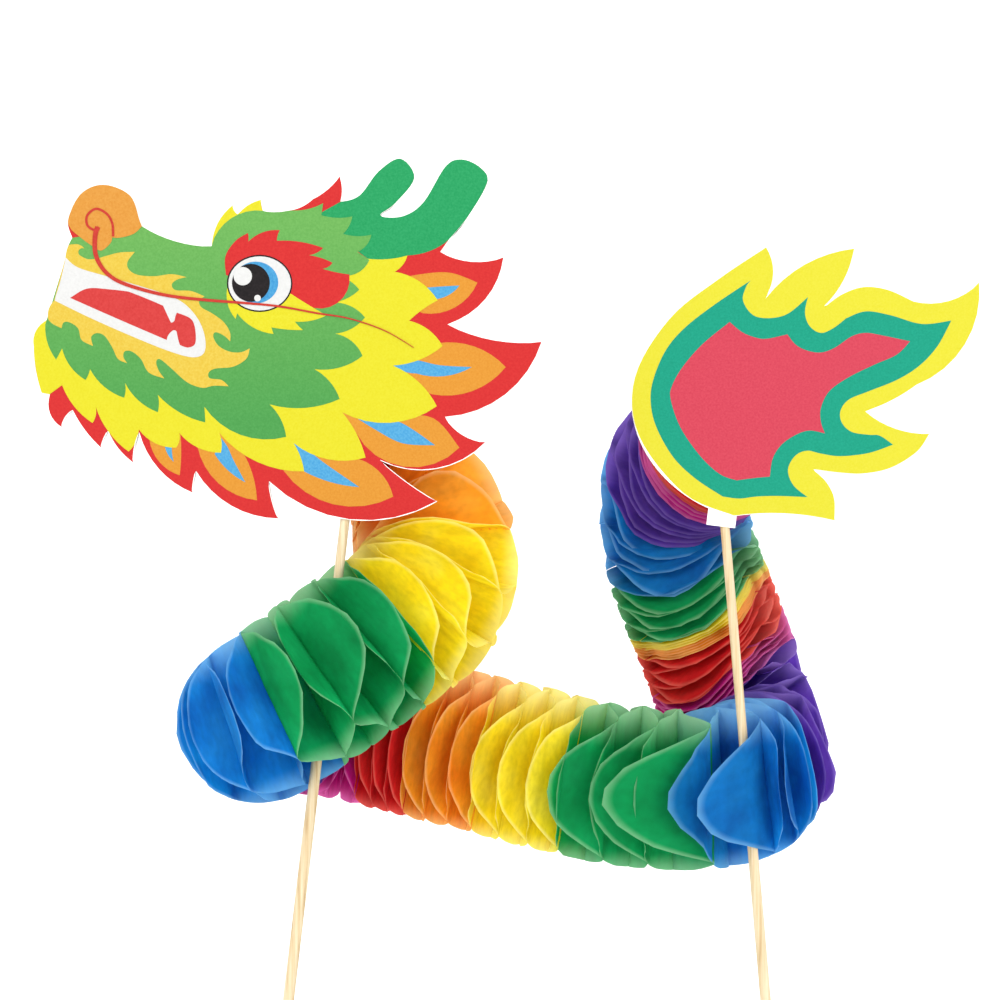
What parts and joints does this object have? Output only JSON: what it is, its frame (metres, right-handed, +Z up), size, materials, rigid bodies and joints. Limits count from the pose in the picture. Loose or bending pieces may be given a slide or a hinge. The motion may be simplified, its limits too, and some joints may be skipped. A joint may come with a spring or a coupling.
{
  "type": "paper dragon dance puppet",
  "caption": "Paper dragon on sticks: printed card head and flame tail joined by a bent garland of rainbow honeycomb tissue.",
  "frame": {"origin": "bottom end of the head stick, on its axis", "axes": "+X from the head towards the tail, +Y from the printed front to the back, +Z up"},
  "size_m": [0.3218, 0.1505, 0.302],
  "materials": {
    "printed_card": "printed white card, satin",
    "bamboo": "bare bamboo",
    "foam_tape": "white foam tape",
    "glue": "dried craft glue film",
    "end_disc_card": "red card",
    "paper_tape": "white paper tape",
    "tissue_red": "tissue paper",
    "tissue_orange": "tissue paper",
    "tissue_yellow": "tissue paper",
    "tissue_green": "tissue paper",
    "tissue_blue": "tissue paper",
    "tissue_purple": "tissue paper",
    "tissue_magenta": "tissue paper"
  },
  "bodies": {
    "head": {"head_card_back": "printed_card", "head_card_front": "printed_card", "head_end_disc": "end_disc_card", "head_foam_tape": "foam_tape", "head_glue_spot": "glue", "head_stick": "bamboo", "tissue_01_red": "tissue_red", "tissue_02_orange": "tissue_orange", "tissue_03_yellow": "tissue_yellow", "tissue_04_green": "tissue_green", "tissue_05_blue": "tissue_blue"},
    "turn_purple": {"tissue_06_purple": "tissue_purple"},
    "run_magenta": {"tissue_07_magenta": "tissue_magenta"},
    "run_red": {"tissue_08_red": "tissue_red"},
    "run_orange": {"tissue_09_orange": "tissue_orange"},
    "run_yellow": {"tissue_10_yellow": "tissue_yellow"},
    "run_green": {"tissue_11_green": "tissue_green"},
    "tail": {"tail_card_back": "printed_card", "tail_card_front": "printed_card", "tail_end_disc": "end_disc_card", "tail_foam_tape": "foam_tape", "tail_glue_spot": "glue", "tail_stick": "bamboo", "tail_stick_tape": "paper_tape", "tissue_12_blue": "tissue_blue", "tissue_13_purple": "tissue_purple", "tissue_14_magenta": "tissue_magenta", "tissue_15_red": "tissue_red", "tissue_16_orange": "tissue_orange", "tissue_17_yellow": "tissue_yellow", "tissue_18_green": "tissue_green", "tissue_19_blue": "tissue_blue", "tissue_20_purple": "tissue_purple", "tissue_21_magenta": "tissue_magenta", "tissue_22_red": "tissue_red"}
  },
  "joints": [
    {"name": "body_sway", "type": "hinge", "parent": "head", "child": "turn_purple", "pos_m": [-0.00974, 0.04369, 0.11213], "axis": [0, 0, 1], "range_deg": [-6, 15], "deforming": ["tissue_06_purple", "tissue_07_magenta"]},
    {"name": "body_sway_middle", "type": "hinge", "parent": "turn_purple", "child": "run_magenta", "pos_m": [0.00141, 0.07229, 0.11067], "axis": [0, 0, 1], "range_deg": [-6, 15], "deforming": ["tissue_08_red"]},
    {"name": "body_lift", "type": "hinge", "parent": "run_magenta", "child": "run_red", "pos_m": [0.03019, 0.07645, 0.10498], "axis": [0, 1, 0], "range_deg": [-16, 16], "deforming": ["tissue_09_orange"]},
    {"name": "body_stretch", "type": "slide", "parent": "run_red", "child": "run_orange", "axis": [0.9384, -0.2839, -0.197], "range_m": [-0.006, 0.03], "deforming": ["tissue_10_yellow"]},
    {"name": "body_stretch_middle", "type": "slide", "parent": "run_orange", "child": "run_yellow", "axis": [0.9384, -0.2839, -0.197], "range_m": [-0.006, 0.03]},
    {"name": "body_sway_far", "type": "hinge", "parent": "run_yellow", "child": "run_green", "pos_m": [0.1006, 0.05515, 0.09019], "axis": [0, 0, 1], "range_deg": [-6, 15], "deforming": ["tissue_11_green"]},
    {"name": "body_lift_far", "type": "hinge", "parent": "run_green", "child": "tail", "pos_m": [0.14141, 0.0483, 0.08611], "axis": [0, 1, 0], "range_deg": [-16, 16]}
  ],
  "couplings": [
    {"joint": "body_sway_middle", "follows": "body_sway", "ratio": 1},
    {"joint": "body_sway_far", "follows": "body_sway", "ratio": 1},
    {"joint": "body_lift_far", "follows": "body_lift", "ratio": -1},
    {"joint": "body_stretch_middle", "follows": "body_stretch", "ratio": 1}
  ]
}
